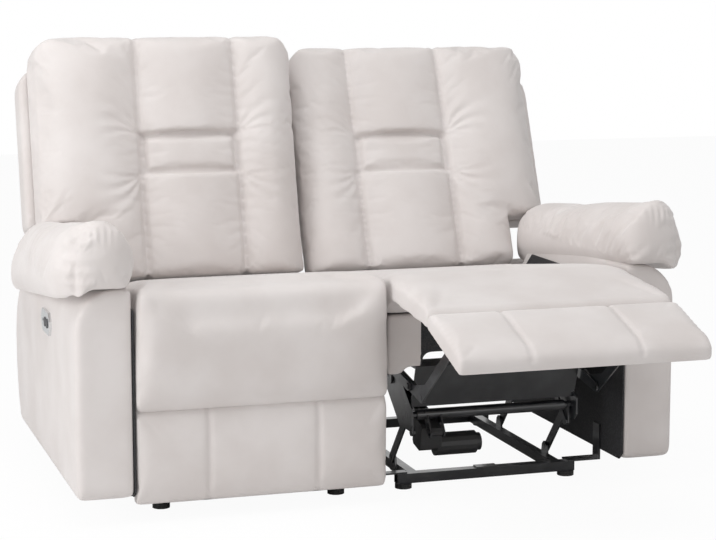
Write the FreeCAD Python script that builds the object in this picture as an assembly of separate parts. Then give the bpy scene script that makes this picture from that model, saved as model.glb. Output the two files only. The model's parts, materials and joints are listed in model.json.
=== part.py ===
import FreeCAD, Part
import math
import os

# Reclining sofa with two powered seats, millimetres.
# X runs to the sofa's left-hand arm seen from behind, +Z is up and the front faces -Y.
# The left seat stands closed and upright, the right seat has its footrest open and its back
# a little reclined, so both are made by the same functions at their own opening.
# Side views use two numbers: how far forward of the arms' front plane (u), and the height (z).

# Whole sofa
FRONT_Y = -274.0            # the arms' front plane, seen from the middle of the footprint
OVER_ARMS = 1400.0          # outer face to outer face
ARM_W = 128.0
SEAT_GAP = 20.0             # between the two seat cushions
ARM_GAP = 10.0              # between a cushion and the arm
RUN = 0.3                   # running clearance round a pin
SEAM_GAP = 0.5              # between two soft pieces that meet
ARM_IN = OVER_ARMS / 2 - ARM_W
SEAT_HALF = (ARM_IN - ARM_GAP - SEAT_GAP / 2) / 2
SEAT_X = SEAT_GAP / 2 + SEAT_HALF

# Base frames on the floor
GLIDE_H = 12.0
GLIDE_R = 20.0
GLIDE_SIDES = 12
TUBE_H = 23.0
TUBE_D = 25.0
TUBE_WALL = 2.0
RAIL_X = 180.0              # side rail's centre from the seat's centre
RAIL_W = 22.0
CROSS_HALF = 222.0
GLIDE_X = 204.0
FRONT_CROSS_U = -139.0
REAR_CROSS_U = -700.0
BASE_TOP = GLIDE_H + TUBE_H

# Steel plates of the mechanism lie in lanes outside the rails, counted from the rail outwards
PLATE = 4.0
LANE = 5.0
LUG_X = RAIL_X + RAIL_W / 2
LIFT_LANE = LUG_X + LANE + 1.0
SIDE_LANE = LIFT_LANE + LANE
REAR_LINK_LANE = SIDE_LANE + LANE
UPPER_LINK_LANE = REAR_LINK_LANE + LANE
FRONT_LINK_LANE = UPPER_LINK_LANE + LANE
CRANK_LANE = LIFT_LANE - LANE
STRAP_LANE = CRANK_LANE - LANE
BAR_R = 12.0                # half width of a link
PIN_R = 5.0
PIN_SIDES = 8
HEAD_R = 8.0
HEAD_T = 2.5
FLUSH_HEAD = 0.7            # a rivet head that stays inside its lane

# Lift links carry the seat on the base
LIFT_LENGTH = 159.0
LIFT_PITCH = 300.0          # front lift link to rear lift link
LIFT_BASE = (-240.0, 46.0)
LIFT_UPRIGHT = 51.7         # degrees up from level when the back is upright
BACK_PER_LINK = 2.5         # the back turns this much more than the lift links
BACK_RECLINED_NOW = 8.5     # the right back in its rest pose, degrees

# Footrest linkage, in the seat's own side view
FLAP_HINGE = (-7.0, 488.0)
CREASE_SHUT = (-25.0, 247.0)
FLAP_OPEN = -5.5            # the flap's slope when open, degrees
BOARD_SHUT = -90.0
BOARD_OPEN = -18.0
REAR_PIVOT = (-225.0, 287.0)
REAR_LINK = 234.0
UPPER_LINK = 278.0
BOARD_PIVOT_ALONG = 11.0
BOARD_PIVOT_BEHIND = 48.0
FRONT_LINK_BACK = 75.0      # the front link's pivot lies this far behind the rear link's
FRONT_LINK_UP = 10.0
TORQUE_TUBE = (-119.0, 183.0)
TORQUE_R = 12.5
CRANK = 40.0
CRANK_BEHIND = 80.0         # degrees the drive arm trails the rear link
LEVER = 45.0
LEVER_SHUT = -150.0
BACK_HINGE = (-640.0, 345.0)

# Seat box and its cushion
BOX_FRONT = -56.0
BOX_REAR = -600.0
BOX_LOW = 308.0
WING_LOW = 292.0
WING_REAR = -110.0
BOX_TOP_FRONT = 430.0
BOX_TOP_REAR = 380.0
BOX_RAIL = 40.0
SEAT_FRONT_Z = 522.0
SEAT_REAR_Z = 448.0
CUSHION_ROUND = 36.0
CUSHION_CROWN = 16.0
CUSHION_DEPTH = 110.0
CUSHION_SIDE_GAP = 4.0
CUSHION_REAR_GAP = 8.0

# Footrest pads
PAD_T = 50.0
HINGE_R = 24.0              # the flap's rounded hinge end
BOARD_T = 12.0
FOOTREST_LENGTH = 208.0
COLUMN_X = 124.0            # seams between the middle column and its neighbours

# Backs
BACK_LEAN = 14.0
BACK_FOOT = (-700.0, 425.0)
BACK_LENGTH = 605.0
BACK_T = 104.0
SHELL_T = 86.0
SHELL_LENGTH = 545.0
WING_OUT = 394.0            # the back's wide part from the seat's centre
WING_UP = 135.0             # where the wide part starts, along the back
WINDOW_LOW = 262.0
WINDOW_HIGH = 352.0
WINDOW_SIDE = 14.0          # from a column's seam to the window pad
WINDOW_RISE = 10.0          # the window pad over the seams
COLUMN_CROWN = 24.0
EDGE_FALL = 24.0
BACK_CORNER_R = 70.0
BACK_TOP_R = 56.0
BACK_FOOT_R = 40.0

# Arms
ARM_TOP = 520.0
ARM_FOOT = 58.0
ARM_REAR = -916.0
ARM_REAR_TOP = 426.0
ARM_CORNER_R = 95.0
ARM_PAD_W = 132.0
ARM_PAD_BULGE = 22.0
ARM_PAD_H = 150.0
ARM_PAD_CROWN = 42.0
ARM_PAD_END_R = 44.0
ARM_PAD_FRONT = 22.0
ARM_PAD_REAR = -556.0
ARM_PAD_OUT = 20.0          # the pad's core stands out past the arm
LINING_T = 4.0
PANEL_U = -365.0
PANEL_Z = 395.0
PANEL_L = 120.0
PANEL_H = 52.0
PANEL_T = 6.0
BUTTON_R = 11.0
BUTTON_TRAVEL = 2.0
BUTTON_SIDES = 16
BUTTON_PITCH = 28.0
PANEL_CUT = 18.0            # the panel's chamfered corners
SOCKET_BACK = 34.0
SOCKET_L = 14.0
SOCKET_H = 6.0


def place(x, u, z):
    """A point from its distance across, forward of the arms' front plane, and up."""
    return FreeCAD.Vector(x, FRONT_Y - u, z)


def box(x0, x1, u0, u1, z0, z1):
    """A block between two distances across, forward and up."""
    low = place(min(x0, x1), max(u0, u1), min(z0, z1))
    return Part.makeBox(abs(x1 - x0), abs(u1 - u0), abs(z1 - z0), low)


def prism(outline, x0, x1):
    """A side-view outline of (u, z) corners, carried across from x0 to x1."""
    corners = [place(x0, u, z) for u, z in outline]
    face = Part.Face(Part.makePolygon(corners + corners[:1]))
    return face.extrude(FreeCAD.Vector(x1 - x0, 0, 0))


def rod(centre, radius, x0, x1):
    """A round bar along X round a side-view point."""
    start = place(min(x0, x1), centre[0], centre[1])
    return Part.makeCylinder(radius, abs(x1 - x0), start, FreeCAD.Vector(1, 0, 0))


def flats(centre, radius, x0, x1, sides):
    """A many-sided bar along X: the small round pieces that repeat are made with flats."""
    corners = [plus(centre, heading(360 * (side + 0.5) / sides, radius)) for side in range(sides)]
    return prism(corners, x0, x1)


def pin(centre, radius, x0, x1):
    """A pivot pin; its corners lie on the radius."""
    return flats(centre, radius, x0, x1, PIN_SIDES)


def hole(centre, radius, x0, x1):
    """The space for a pivot pin; its flats lie on the radius."""
    return flats(centre, radius / math.cos(math.pi / PIN_SIDES), x0, x1, PIN_SIDES)


def nut(centre, x0, x1):
    """The six-sided head of a pivot pin."""
    return flats(centre, HEAD_R, x0, x1, 6)


def toward(a, b, length=1.0):
    """The side-view step of a length from one point towards another."""
    return heading(angle(a, b), length)


def rounded_face(corners, cuts, spot):
    """A face with rounded corners: each cut is how far along its two edges a corner's arc starts.

    spot turns a pair of numbers of the outline into a point in space.
    """
    stretches = []
    for before, corner, after, cut in zip(corners[-1:] + corners[:-1], corners, corners[1:] + corners[:1], cuts):
        if not cut:
            stretches.append([spot(*corner)])
            continue
        start = plus(corner, toward(corner, before, cut))
        end = plus(corner, toward(corner, after, cut))
        chord_middle = ((start[0] + end[0]) / 2, (start[1] + end[1]) / 2)
        half = math.asin(distance(start, end) / 2 / cut)
        middle = plus(corner, toward(corner, chord_middle, cut / math.cos(half) - cut * math.tan(half)))
        stretches.append([spot(*start), spot(*middle), spot(*end)])
    edges = []
    for here, following in zip(stretches, stretches[1:] + stretches[:1]):
        if len(here) == 3:
            edges.append(Part.Arc(*here).toShape())
        if here[-1].distanceToPoint(following[0]) > 0.01:
            edges.append(Part.LineSegment(here[-1], following[0]).toShape())
    return Part.Face(Part.Wire(edges))


def strip(a, b, half, x0, x1):
    """A short flat link or slot with chamfered ends between two side-view points."""
    along = angle(a, b)
    size = half / math.cos(math.pi / 8)
    far = [plus(b, heading(along + turned, size)) for turned in (-67.5, -22.5, 22.5, 67.5)]
    near = [plus(a, heading(along + turned, size)) for turned in (112.5, 157.5, 202.5, 247.5)]
    return prism(far + near, x0, x1)


def bar(a, b, half, x0, x1):
    """A flat link with round ends between two side-view points."""
    along = (b[0] - a[0], b[1] - a[1])
    length = math.hypot(*along)
    side = (-along[1] / length * half, along[0] / length * half)
    tip = (along[0] / length * half, along[1] / length * half)
    a_up, a_down = (a[0] + side[0], a[1] + side[1]), (a[0] - side[0], a[1] - side[1])
    b_up, b_down = (b[0] + side[0], b[1] + side[1]), (b[0] - side[0], b[1] - side[1])
    a_end, b_end = (a[0] - tip[0], a[1] - tip[1]), (b[0] + tip[0], b[1] + tip[1])
    edges = [Part.LineSegment(place(x0, *a_up), place(x0, *b_up)).toShape(),
             Part.Arc(place(x0, *b_up), place(x0, *b_end), place(x0, *b_down)).toShape(),
             Part.LineSegment(place(x0, *b_down), place(x0, *a_down)).toShape(),
             Part.Arc(place(x0, *a_down), place(x0, *a_end), place(x0, *a_up)).toShape()]
    return Part.Face(Part.Wire(edges)).extrude(FreeCAD.Vector(x1 - x0, 0, 0))


def both_sides(shape, middle):
    """The shape and its mirror image on the other side of a seat."""
    return [shape, shape.mirror(FreeCAD.Vector(middle, 0, 0), FreeCAD.Vector(1, 0, 0))]


def shift(shape, move):
    """Slides a shape forward and up."""
    return shape.translated(FreeCAD.Vector(0, -move[0], move[1]))


def turn(shape, centre, degrees):
    """Turns a shape in the side view, from forward towards up."""
    return shape.rotated(place(0, *centre), FreeCAD.Vector(-1, 0, 0), degrees)


def save(name, shapes):
    """Writes one node: its separate solids in one file."""
    solids = [solid for shape in shapes for solid in shape.Solids]
    whole = solids[0] if len(solids) == 1 else Part.makeCompound(solids)
    whole.exportStep("parts/" + name + ".step")


def heading(degrees, length=1.0):
    """The side-view step of a length in a direction."""
    return (length * math.cos(math.radians(degrees)), length * math.sin(math.radians(degrees)))


def angle(a, b):
    """The direction from one side-view point to another, in degrees."""
    return math.degrees(math.atan2(b[1] - a[1], b[0] - a[0]))


def distance(a, b):
    return math.hypot(b[0] - a[0], b[1] - a[1])


def plus(a, b):
    return (a[0] + b[0], a[1] + b[1])


def minus(a, b):
    return (a[0] - b[0], a[1] - b[1])


def elbow(a, b, first, second):
    """Where two links from a and b meet, below the line between them."""
    reach = distance(a, b)
    bend = math.degrees(math.acos((first ** 2 + reach ** 2 - second ** 2) / (2 * first * reach)))
    return plus(a, heading(angle(a, b) - bend, first))


# The linkage at its two ends. Every link turns in proportion to the opening in between.
FLAP_LENGTH = distance(FLAP_HINGE, CREASE_SHUT)
FLAP_SHUT = angle(FLAP_HINGE, CREASE_SHUT)


def crease_at(opening):
    turned = FLAP_SHUT + (FLAP_OPEN - FLAP_SHUT) * opening
    return plus(FLAP_HINGE, heading(turned, FLAP_LENGTH))


def board_angle(opening):
    return BOARD_SHUT + (BOARD_OPEN - BOARD_SHUT) * opening


def on_board(opening, along, behind):
    """A point fixed to the footrest board, along it and behind its middle plane."""
    along_step = heading(board_angle(opening), along)
    return plus(plus(crease_at(opening), along_step), heading(board_angle(opening) - 90, behind))


def board_pivot(opening):
    return on_board(opening, BOARD_PIVOT_ALONG, BOARD_PIVOT_BEHIND)


REAR_END = [elbow(REAR_PIVOT, board_pivot(end), REAR_LINK, UPPER_LINK) for end in (0, 1)]
REAR_ANGLE = [angle(REAR_PIVOT, point) for point in REAR_END]
UPPER_ANGLE = [angle(REAR_END[end], board_pivot(end)) for end in (0, 1)]
UPPER_TURN = UPPER_ANGLE[1] - UPPER_ANGLE[0]
HEEL_LENGTH = math.hypot(FRONT_LINK_BACK, FRONT_LINK_UP)
HEEL_ANGLE = math.degrees(math.atan2(FRONT_LINK_UP, -FRONT_LINK_BACK))
FRONT_END = [plus(REAR_END[end], heading(HEEL_ANGLE + UPPER_TURN * end, HEEL_LENGTH)) for end in (0, 1)]
HALF_CHORD = distance(FRONT_END[0], FRONT_END[1]) / 2
CHORD_ANGLE = angle(FRONT_END[0], FRONT_END[1])
CHORD_MIDDLE = plus(FRONT_END[0], heading(CHORD_ANGLE, HALF_CHORD))
FRONT_PIVOT = plus(CHORD_MIDDLE, heading(CHORD_ANGLE + 90, math.sqrt(REAR_LINK ** 2 - HALF_CHORD ** 2)))
FRONT_ANGLE = [angle(FRONT_PIVOT, point) for point in FRONT_END]
REAR_TURN = REAR_ANGLE[1] - REAR_ANGLE[0]
FRONT_TURN = FRONT_ANGLE[1] - FRONT_ANGLE[0]
LEVER_PIN = [plus(TORQUE_TUBE, heading(LEVER_SHUT + REAR_TURN * end, LEVER)) for end in (0, 1)]
DRIVE_STROKE = distance(LEVER_PIN[0], LEVER_PIN[1])
DRIVE_ANGLE = angle(LEVER_PIN[0], LEVER_PIN[1])


class Seat:
    """Where every moving pivot of one seat lies in its rest pose."""

    def __init__(self, name, side, opening, back_turned):
        self.name = name
        self.side = side
        self.x = side * SEAT_X
        self.opening = opening
        self.back_turned = back_turned
        self.lift_angle = LIFT_UPRIGHT - back_turned / BACK_PER_LINK
        upright = heading(LIFT_UPRIGHT, LIFT_LENGTH)
        self.glide = minus(heading(self.lift_angle, LIFT_LENGTH), upright)
        self.lift_seat = plus(LIFT_BASE, heading(LIFT_UPRIGHT, LIFT_LENGTH))
        self.rear_angle = REAR_ANGLE[0] + REAR_TURN * opening
        self.rear_end = plus(REAR_PIVOT, heading(self.rear_angle, REAR_LINK))
        self.upper_angle = UPPER_ANGLE[0] + UPPER_TURN * opening
        self.heel = plus(self.rear_end, heading(HEEL_ANGLE + UPPER_TURN * opening, HEEL_LENGTH))
        self.upper_end = plus(self.rear_end, heading(self.upper_angle, UPPER_LINK))
        self.front_angle = FRONT_ANGLE[0] + FRONT_TURN * opening
        self.drive = heading(DRIVE_ANGLE, DRIVE_STROKE * opening)
        self.lever_angle = LEVER_SHUT + REAR_TURN * opening

    def lanes(self, inner, thick=PLATE):
        """The two sides of a plate in a lane, on the seat's outer half."""
        return (self.x + inner, self.x + inner + thick)

    def pair(self, shapes):
        """Solids on one side of the seat, and their mirror images."""
        return [copy for shape in shapes for copy in both_sides(shape, self.x)]

    def on_seat(self, shapes):
        """Solids that ride on the seat, moved to its rest pose."""
        return [shift(shape, self.glide) for shape in shapes]


def hollow_rail(x0, x1, u0, u1):
    """A rectangular steel tube of the base, open at its two ends."""
    solid = box(x0, x1, u0, u1, GLIDE_H, BASE_TOP)
    wall = TUBE_WALL
    if abs(x1 - x0) > abs(u1 - u0):
        bore = box(x0 - wall, x1 + wall, min(u0, u1) + wall, max(u0, u1) - wall,
                   GLIDE_H + wall, BASE_TOP - wall)
    else:
        bore = box(min(x0, x1) + wall, max(x0, x1) - wall, u0 + wall, u1 - wall,
                   GLIDE_H + wall, BASE_TOP - wall)
    return solid.cut(bore)


LUG_FOOT = 22.0
LUG_R = 13.0
LUG_TIP = 5.0


def lift_lug(seat, centre):
    """A lug welded on the rail's outer side, with the lift link's bore."""
    x0 = seat.x + LUG_X
    x1 = seat.x + LIFT_LANE - 1.0
    low = GLIDE_H + TUBE_WALL
    corners = [(-LUG_FOOT, low), (LUG_FOOT, low), (LUG_R, centre[1] + LUG_TIP), (LUG_TIP, centre[1] + LUG_R),
               (-LUG_TIP, centre[1] + LUG_R), (-LUG_R, centre[1] + LUG_TIP)]
    lug = prism([(centre[0] + along, height) for along, height in corners], x0, x1)
    return lug.cut(hole(centre, PIN_R + RUN, x0 - 1, x1 + 1))


MOTOR_X = -143.0            # the drive's rail from the seat's centre
REST_PLATE = 3.0
REST_PLATE_HALF = 26.0


def base_frame(seat):
    """Front and rear cross tubes, two side rails, the lift lugs and the drive's rest plate."""
    half = TUBE_D / 2
    shapes = []
    for cross in (FRONT_CROSS_U, REAR_CROSS_U):
        shapes.append(hollow_rail(seat.x - CROSS_HALF, seat.x + CROSS_HALF, cross - half, cross + half))
    rail = hollow_rail(seat.x + RAIL_X - RAIL_W / 2, seat.x + RAIL_X + RAIL_W / 2,
                       REAR_CROSS_U + half, FRONT_CROSS_U - half)
    shapes += both_sides(rail, seat.x)
    for base in (LIFT_BASE, (LIFT_BASE[0] - LIFT_PITCH, LIFT_BASE[1])):
        shapes += both_sides(lift_lug(seat, base), seat.x)
    shapes.append(box(seat.x - REST_PLATE_HALF, seat.x + REST_PLATE_HALF,
                      FRONT_CROSS_U - half, FRONT_CROSS_U + half, BASE_TOP, BASE_TOP + REST_PLATE))
    whole = shapes[0].multiFuse(shapes[1:])
    return [whole]


def base_glides(seat):
    """Four round plastic feet under the cross tubes."""
    feet = []
    for cross in (FRONT_CROSS_U, REAR_CROSS_U):
        for across in (-GLIDE_X, GLIDE_X):
            corners = [FreeCAD.Vector(GLIDE_R * math.cos(math.tau * side / GLIDE_SIDES),
                                      GLIDE_R * math.sin(math.tau * side / GLIDE_SIDES), 0)
                       for side in range(GLIDE_SIDES + 1)]
            foot = Part.Face(Part.makePolygon(corners)).extrude(FreeCAD.Vector(0, 0, GLIDE_H))
            feet.append(foot.translated(place(seat.x + across, cross, 0)))
    return feet


def lift_links(seat, behind):
    """One pair of lift links with the pins at their two ends."""
    base = (LIFT_BASE[0] - behind, LIFT_BASE[1])
    top = plus(base, heading(seat.lift_angle, LIFT_LENGTH))
    x0, x1 = seat.lanes(LIFT_LANE)
    link = bar(base, top, BAR_R, x0, x1)
    base_pin = pin(base, PIN_R, seat.x + LUG_X, x0)
    seat_pin = pin(top, PIN_R, x1, seat.x + SIDE_LANE + PLATE)
    heads = [nut(base, x1, x1 + FLUSH_HEAD), nut(top, x0 - FLUSH_HEAD, x0)]
    return seat.pair([link.multiFuse([base_pin, seat_pin] + heads)])


SIDE_OUTLINE = [(-85.0, 165.0), (-85.0, 205.0), (-150.0, 250.0), (-185.0, 303.0), (-330.0, 306.0),
                (-600.0, 306.0), (-618.0, 356.0), (-662.0, 356.0), (-662.0, 318.0), (-560.0, 235.0),
                (-470.0, 150.0), (-410.0, 150.0), (-330.0, 225.0), (-270.0, 225.0), (-170.0, 150.0),
                (-100.0, 150.0)]
SLOT_EXTRA = 10.0           # degrees that the drive slot runs past the pin's travel
FOOT_OVER_TRAVEL = 6.0      # degrees the rear link can still turn past the photographed pose
CROSS_BAR_U = -520.0
CROSS_BAR_Z = 272.0
APRON_T = 3.0


def drive_slot(x0, x1):
    """The curved slot that the rear link's drive pin sweeps round the rear pivot."""
    wide = PIN_R + 1.0
    start = REAR_ANGLE[0] - CRANK_BEHIND - SLOT_EXTRA
    sweep = REAR_TURN + 2 * SLOT_EXTRA + FOOT_OVER_TRAVEL
    ring = rod(REAR_PIVOT, CRANK + wide, x0, x1).cut(rod(REAR_PIVOT, CRANK - wide, x0 - 1, x1 + 1))
    reach = 2 * CRANK
    corners = [REAR_PIVOT]
    for step in range(4):
        corners.append(plus(REAR_PIVOT, heading(start + sweep * step / 3, reach)))
    return ring.common(prism(corners, x0, x1))


def seat_side_plates(seat):
    """Two pressed plates that carry every pivot of the seat, and the rear cross tube."""
    x0, x1 = seat.lanes(SIDE_LANE)
    plate = prism(SIDE_OUTLINE, x0, x1)
    rear_lift = (seat.lift_seat[0] - LIFT_PITCH, seat.lift_seat[1])
    holes = [hole(point, PIN_R + RUN, x0 - 1, x1 + 1)
             for point in (REAR_PIVOT, FRONT_PIVOT, seat.lift_seat, rear_lift, BACK_HINGE)]
    holes.append(hole(TORQUE_TUBE, HEAD_R + RUN, x0 - 1, x1 + 1))
    holes.append(drive_slot(x0 - 1, x1 + 1))
    plate = plate.cut(Part.makeCompound(holes))
    boss = pin(FRONT_PIVOT, HEAD_R, x1, seat.x + FRONT_LINK_LANE - 1)
    boss = boss.cut(hole(FRONT_PIVOT, PIN_R + RUN, x0, seat.x + FRONT_LINK_LANE))
    plates = both_sides(plate.fuse(boss), seat.x)
    cross = rod((CROSS_BAR_U, CROSS_BAR_Z), TORQUE_R, seat.x - SIDE_LANE, seat.x + SIDE_LANE)
    apron = prism([(-66.0, 306.0), (-100.0, 206.0), (-100.0 - APRON_T, 207.0), (-72.0, 300.0),
                   (-150.0, 300.0), (-150.0, 306.0)], seat.x - SIDE_LANE, seat.x + SIDE_LANE)
    tabs = prism([(-150.0, 300.0), (-150.0, 306.0), (-240.0, 306.0), (-240.0, 300.0)],
                 seat.x + SIDE_LANE - 30, seat.x + SIDE_LANE)
    parts = plates[0].multiFuse([plates[1], cross, apron] + both_sides(tabs, seat.x))
    return seat.on_seat([parts])


def box_top(along):
    """The height of the seat box's sloping top."""
    slope = (BOX_TOP_FRONT - BOX_TOP_REAR) / (BOX_FRONT - BOX_REAR)
    return BOX_TOP_FRONT - slope * (BOX_FRONT - along)


def seat_frame(seat):
    """The wooden seat box in its cloth: two side boxes with front wings, front and rear rails."""
    side = [(BOX_FRONT, WING_LOW), (BOX_FRONT, BOX_TOP_FRONT), (BOX_REAR, BOX_TOP_REAR),
            (BOX_REAR, BOX_LOW), (WING_REAR, BOX_LOW), (WING_REAR, WING_LOW)]
    wing_in = seat.x + UPPER_LINK_LANE - 26
    outer = prism(side, seat.x + SEAT_HALF - BOX_RAIL, seat.x + SEAT_HALF)
    wing = prism([(BOX_FRONT, BOX_LOW), (BOX_FRONT, BOX_TOP_FRONT), (WING_REAR, BOX_TOP_FRONT - 5),
                  (WING_REAR, BOX_LOW)], wing_in, seat.x + SEAT_HALF - BOX_RAIL)
    front = prism([(BOX_FRONT, BOX_LOW + 30), (BOX_FRONT, BOX_TOP_FRONT),
                   (BOX_FRONT - BOX_RAIL, box_top(BOX_FRONT - BOX_RAIL)), (BOX_FRONT - BOX_RAIL, BOX_LOW + 30)],
                  seat.x - SEAT_HALF + BOX_RAIL, seat.x + SEAT_HALF - BOX_RAIL)
    rear = prism([(BOX_REAR + BOX_RAIL, BOX_LOW), (BOX_REAR + BOX_RAIL, box_top(BOX_REAR + BOX_RAIL)),
                  (BOX_REAR, BOX_TOP_REAR), (BOX_REAR, BOX_LOW)],
                 seat.x - SEAT_HALF + BOX_RAIL, seat.x + SEAT_HALF - BOX_RAIL)
    pieces = both_sides(outer, seat.x) + both_sides(wing, seat.x) + [front, rear]
    return seat.on_seat([pieces[0].multiFuse(pieces[1:]).removeSplitter()])


SPRINGS = 4
SPRING_WIRE = 4.0
SPRING_WAVE = 26.0          # half the width of a zigzag spring
SPRING_STEPS = 8
SPRING_DROP = 22.0
SPRING_PITCH = 98.0


def seat_springs(seat):
    """Zigzag springs from the front rail to the rear rail."""
    front_u = BOX_FRONT - BOX_RAIL
    span = front_u - BOX_REAR - BOX_RAIL
    springs = []
    for count in range(SPRINGS):
        middle = seat.x + (count - (SPRINGS - 1) / 2) * SPRING_PITCH
        near, far = [], []
        for step in range(SPRING_STEPS + 1):
            along = span * step / SPRING_STEPS
            swing = 0.0 if step in (0, SPRING_STEPS) else SPRING_WAVE * (-1) ** step
            end = SPRING_WIRE / 2 if step == 0 else -SPRING_WIRE / 2 if step == SPRING_STEPS else 0.0
            for side, edge in ((1, near), (-1, far)):
                here = front_u - along - end
                edge.append(place(middle + swing + side * SPRING_WIRE, here, box_top(here) - SPRING_DROP))
        wire = Part.makePolygon(near + far[::-1] + near[:1])
        springs.append(Part.Face(wire).extrude(FreeCAD.Vector(0, 0, -SPRING_WIRE)))
    return seat.on_seat(springs)


def crowned(columns, seams, crowns, origin, along, middle, length):
    """A flat-bottomed pad in columns, carried along a side-view direction.

    columns are the places of the edges and seams across, seams how high the pad is at each,
    crowns how far each column rises over the line between its two seams.
    """
    up = heading(along + 90)

    def at(across, height):
        return place(middle + across, origin[0] + up[0] * height, origin[1] + up[1] * height)

    edges = [Part.LineSegment(at(columns[0], 0), at(columns[0], seams[0])).toShape()]
    for first, second, low, high, crown in zip(columns, columns[1:], seams, seams[1:], crowns):
        top = at((first + second) / 2, (low + high) / 2 + crown)
        edges.append(Part.Arc(at(first, low), top, at(second, high)).toShape())
    edges.append(Part.LineSegment(at(columns[-1], seams[-1]), at(columns[-1], 0)).toShape())
    edges.append(Part.LineSegment(at(columns[-1], 0), at(columns[0], 0)).toShape())
    forward = heading(along, length)
    return Part.Face(Part.Wire(edges)).extrude(FreeCAD.Vector(0, -forward[0], forward[1]))


def rounded_slab(start, along, length, thick, round_start, round_end, half, middle):
    """A slab in the side view whose upper edges are rounded at its two ends."""
    def spot(forward, up):
        point = plus(plus(start, heading(along, forward)), heading(along + 90, up))
        return place(middle - half, *point)

    corners = [(0, 0), (0, thick), (length, thick), (length, 0)]
    face = rounded_face(corners, [0, round_start, round_end, 0], spot)
    return face.extrude(FreeCAD.Vector(2 * half, 0, 0))


def seat_cushion(seat):
    """The seat pad: crowned across, rounded at its ends and sloping down to the back."""
    front = FLAP_HINGE[0] - HINGE_R - SEAM_GAP
    rear = BOX_REAR + CUSHION_REAR_GAP
    fall = angle((rear, SEAT_REAR_Z), (front, SEAT_FRONT_Z))
    half = SEAT_HALF - CUSHION_SIDE_GAP
    low = plus((rear, SEAT_REAR_Z), heading(fall - 90, CUSHION_DEPTH))
    low = plus(low, heading(fall, -CUSHION_ROUND))
    seam = CUSHION_DEPTH - CUSHION_CROWN - 2
    pad = crowned([-half, half], [seam, seam], [CUSHION_CROWN], low, fall, seat.x,
                  front - rear + 2 * CUSHION_ROUND)
    corners = [(rear, box_top(rear) + SEAM_GAP), (rear, SEAT_REAR_Z), (front, SEAT_FRONT_Z),
               (front, BOX_TOP_FRONT + SEAM_GAP), (BOX_FRONT, BOX_TOP_FRONT + SEAM_GAP)]
    side = rounded_face(corners, [0, CUSHION_ROUND, CUSHION_ROUND, 0, 0],
                        lambda along, height: place(seat.x - SEAT_HALF, along, height))
    return seat.on_seat([pad.common(side.extrude(FreeCAD.Vector(2 * SEAT_HALF, 0, 0)))])


PAD_CROWN = 7.0
FLAP_BEHIND = 19.5          # the flap's back lies this far behind its hinge
PAD_ROUND = 16.0
PAD_FAR_ROUND = 30.0
PAD_SIDE_GAP = 5.0


def chaise_pad(seat):
    """The flap between the seat and the footrest: a pad in three columns with a round hinge end."""
    direction = FLAP_SHUT + (FLAP_OPEN - FLAP_SHUT) * seat.opening
    start = plus(FLAP_HINGE, heading(direction - 90, FLAP_BEHIND))
    half = SEAT_HALF - PAD_SIDE_GAP
    thick = FLAP_BEHIND + HINGE_R
    length = FLAP_LENGTH - 3.0
    pad = crowned([-half, -COLUMN_X, COLUMN_X, half], [thick - 8, thick - 4, thick - 4, thick - 8],
                  [PAD_CROWN] * 3, start, direction, seat.x, length)
    pad = pad.common(rounded_slab(start, direction, length, thick + PAD_CROWN, 0, PAD_ROUND,
                                  SEAT_HALF, seat.x))
    hinge = rod(FLAP_HINGE, HINGE_R, seat.x - half, seat.x + half)
    return seat.on_seat([pad.fuse(hinge)])


def footrest_board(seat):
    """The plywood board of the footrest."""
    direction = board_angle(seat.opening)
    start = plus(crease_at(seat.opening), heading(direction, 8.0))
    start = plus(start, heading(direction - 90, PAD_T / 2))
    corners = [start, plus(start, heading(direction, FOOTREST_LENGTH - 26)),
               plus(plus(start, heading(direction, FOOTREST_LENGTH - 26)),
                    heading(direction + 90, BOARD_T)), plus(start, heading(direction + 90, BOARD_T))]
    board = prism(corners, seat.x - SEAT_HALF + 14, seat.x + SEAT_HALF - 14)
    return seat.on_seat([board])


def footrest_pad(seat):
    """The padded front panel of the footrest in three columns, rounded at its far edge."""
    direction = board_angle(seat.opening)
    start = plus(crease_at(seat.opening), heading(direction, 3.0))
    start = plus(start, heading(direction - 90, PAD_T / 2 - BOARD_T))
    half = SEAT_HALF - PAD_SIDE_GAP
    thick = PAD_T - BOARD_T
    length = FOOTREST_LENGTH - 3.0
    pad = crowned([-half, -COLUMN_X, COLUMN_X, half], [thick - 8, thick - 4, thick - 4, thick - 8],
                  [PAD_CROWN] * 3, start, direction, seat.x, length)
    slab = rounded_slab(start, direction, length, thick + PAD_CROWN, PAD_ROUND, PAD_FAR_ROUND,
                        SEAT_HALF, seat.x)
    return seat.on_seat([pad.common(slab)])


BRACKET_FLANGE = 26.0


def footrest_brackets(seat):
    """Two angle brackets on the board's back, each with the ear of the upper link's pivot."""
    x0, x1 = seat.lanes(REAR_LINK_LANE)
    opening = seat.opening
    back = PAD_T / 2
    ear = [on_board(opening, BOARD_PIVOT_ALONG - 2, back), on_board(opening, 110.0, back),
           on_board(opening, 104.0, back + 12), on_board(opening, BOARD_PIVOT_ALONG + 20, back + 34),
           on_board(opening, BOARD_PIVOT_ALONG - 2, back + 20)]
    flange = [on_board(opening, BOARD_PIVOT_ALONG - 2, back), on_board(opening, 110.0, back),
              on_board(opening, 110.0, back + 3), on_board(opening, BOARD_PIVOT_ALONG - 2, back + 3)]
    pivot = board_pivot(opening)
    head = nut(pivot, x0 - HEAD_T + 1, x0)
    boss = pin(pivot, BAR_R, x0, seat.x + UPPER_LINK_LANE - RUN)
    ear_plate = prism(ear, x0, x1).fuse(boss)
    return seat.on_seat(seat.pair([ear_plate.multiFuse([prism(flange, x0 - BRACKET_FLANGE, x1), head])]))


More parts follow.
